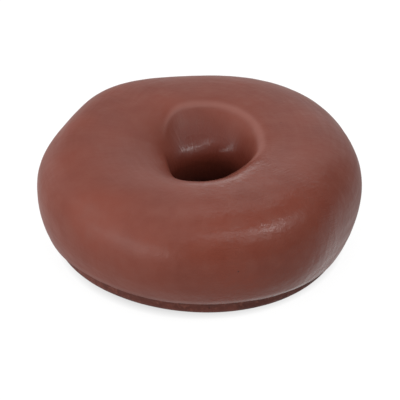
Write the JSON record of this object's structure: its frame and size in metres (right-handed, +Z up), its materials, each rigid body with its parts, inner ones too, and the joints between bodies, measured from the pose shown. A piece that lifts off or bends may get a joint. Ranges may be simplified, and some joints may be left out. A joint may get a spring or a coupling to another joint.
{
  "type": "chocolate glazed doughnut",
  "caption": "Ring doughnut of fried dough under a smooth chocolate glaze, with a flat underside and a hole through its middle.",
  "frame": {"origin": "under the middle of the doughnut's overall outline, on the surface that it rests on", "axes": "+Z up through the hole, +X to the right and +Y away from the viewer as the picture shows it"},
  "size_m": [0.09, 0.0894, 0.0323],
  "materials": {
    "fried_crust": "matt, dry fried crust, dark reddish brown",
    "chocolate": "satin, smooth set milk chocolate glaze"
  },
  "bodies": {
    "root": {"dough_ring": "fried_crust", "chocolate_glaze": "chocolate"}
  },
  "joints": []
}
